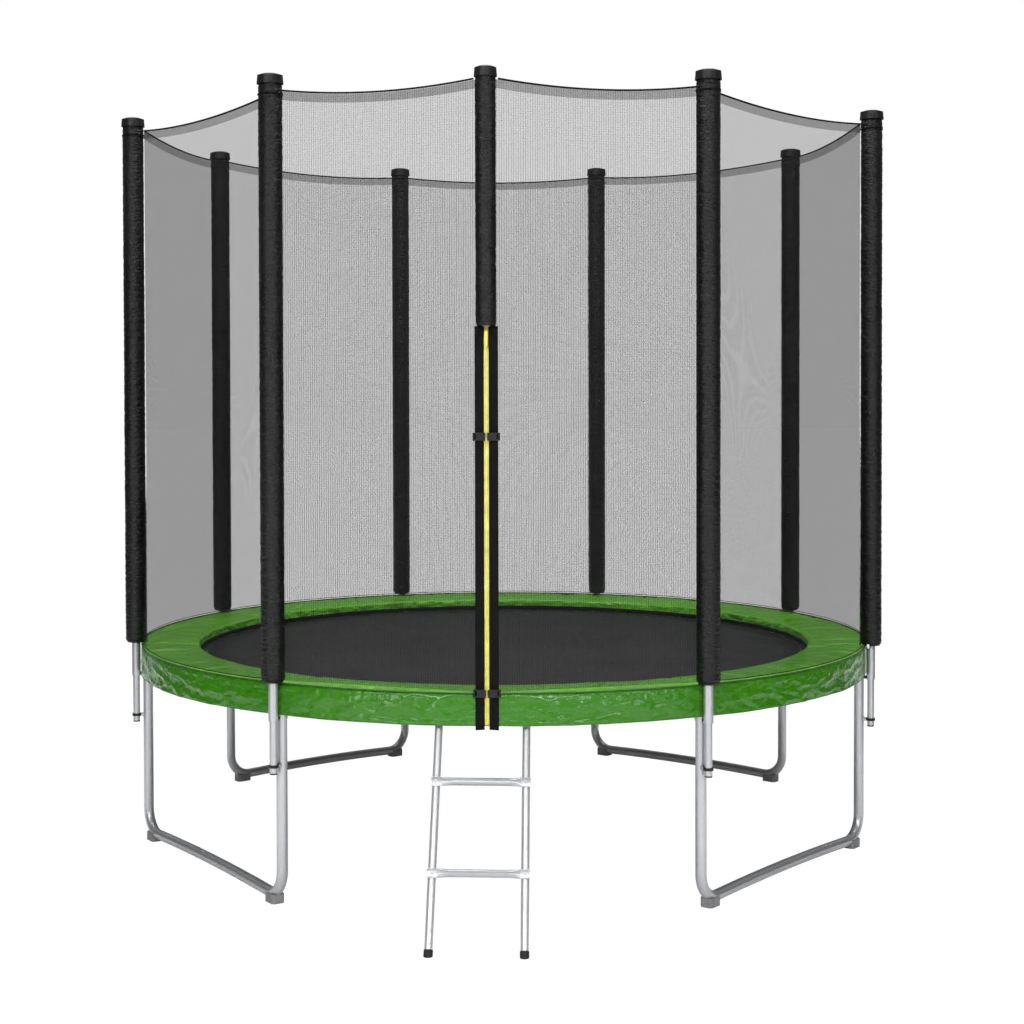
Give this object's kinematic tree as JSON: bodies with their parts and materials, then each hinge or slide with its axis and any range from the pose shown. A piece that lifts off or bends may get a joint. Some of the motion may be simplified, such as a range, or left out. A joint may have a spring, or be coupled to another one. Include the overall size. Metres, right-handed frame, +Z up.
{
  "type": "garden trampoline",
  "caption": "Round garden trampoline with a padded pole safety net, zipped entrance flaps and a tubular ladder.",
  "frame": {"origin": "on the ground, in the middle of the whole footprint", "axes": "+Z up, the entrance and the ladder face -Y"},
  "size_m": [2.4969, 2.7415, 2.3883],
  "materials": {
    "galvanised_steel": "satin zinc",
    "grey_plastic": "moulded",
    "black_plastic": "moulded",
    "foam_sleeve": "smooth coated cloth over foam",
    "zinc_wire": "zinc plated",
    "green_vinyl": "glossy coated cloth",
    "mat_weave": "woven",
    "black_webbing": "woven band",
    "net_mesh": "knitted mesh",
    "black_rope": "braided",
    "stay_core": "glass fibre rod",
    "zip_yellow": "nylon coil",
    "zip_metal": "die cast",
    "ladder_steel": "bright zinc",
    "black_rubber": "moulded"
  },
  "bodies": {
    "frame": {"top_rail_1": "galvanised_steel", "top_rail_2": "galvanised_steel", "top_rail_3": "galvanised_steel", "top_rail_4": "galvanised_steel", "top_rail_5": "galvanised_steel", "top_rail_6": "galvanised_steel", "top_rail_7": "galvanised_steel", "top_rail_8": "galvanised_steel", "rail_joints": "galvanised_steel", "leg_front_right": "galvanised_steel", "leg_back_right": "galvanised_steel", "leg_back_left": "galvanised_steel", "leg_front_left": "galvanised_steel", "foot_blocks": "grey_plastic", "upper_poles": "galvanised_steel", "lower_poles": "galvanised_steel", "pole_end_plugs": "black_plastic", "pole_clamps": "black_plastic", "pole_spacers": "black_plastic", "pole_sleeves": "foam_sleeve", "pole_caps": "black_plastic", "springs": "zinc_wire", "spring_pad": "green_vinyl", "pad_skirt": "green_vinyl", "net_panel_1": "net_mesh", "net_panel_2": "net_mesh", "net_panel_3": "net_mesh", "net_panel_4": "net_mesh", "net_panel_5": "net_mesh", "net_panel_6": "net_mesh", "net_panel_7": "net_mesh", "net_front_left": "net_mesh", "net_front_right": "net_mesh", "net_rope": "black_rope", "band_heads": "black_webbing", "entrance_stay": "foam_sleeve", "stay_rod": "stay_core"},
    "mat": {"jumping_mat": "mat_weave", "mat_edge_band": "black_webbing", "mat_rings": "zinc_wire"},
    "door_left": {"net_flap_left": "net_mesh", "band_left": "black_webbing", "zip_half_left": "zip_yellow", "clip_halves_left": "black_plastic"},
    "door_right": {"net_flap_right": "net_mesh", "band_right": "black_webbing", "zip_half_right": "zip_yellow", "clip_halves_right": "black_plastic"},
    "slider": {"zip_slider": "zip_metal"},
    "pull": {"zip_pull": "zip_metal"},
    "ladder": {"ladder_rail_left": "ladder_steel", "ladder_rail_right": "ladder_steel", "ladder_hooks": "ladder_steel", "ladder_rungs": "ladder_steel", "ladder_boots": "black_rubber"}
  },
  "joints": [
    {"name": "mat_bounce", "type": "slide", "parent": "frame", "child": "mat", "axis": [0, 0, -1], "range_m": [0, 0.25], "stiffness_N_per_m": 5000, "springref_m": -0.02, "deforming": ["springs"]},
    {"name": "door_left_swing", "type": "hinge", "parent": "frame", "child": "door_left", "pos_m": [-0.0107, -1.09875, 1.66], "axis": [-0.4385, 0.1396, -0.8878], "range_deg": [0, 100]},
    {"name": "door_right_swing", "type": "hinge", "parent": "frame", "child": "door_right", "pos_m": [0.0107, -1.09875, 1.66], "axis": [-0.4385, -0.1396, 0.8878], "range_deg": [0, 100]},
    {"name": "zip_slide", "type": "slide", "parent": "door_left", "child": "slider", "axis": [0, 0, -1], "range_m": [0, 1.06]},
    {"name": "zip_pull_swing", "type": "hinge", "parent": "slider", "child": "pull", "pos_m": [0, -1.10407, 1.6387], "axis": [-1, 0, 0], "range_deg": [0, 110]},
    {"name": "ladder_swing", "type": "hinge", "parent": "frame", "child": "ladder", "pos_m": [-0.01463, -1.06032, 0.615], "axis": [-0.9999, 0.0122, 0], "range_deg": [0, 14]}
  ]
}
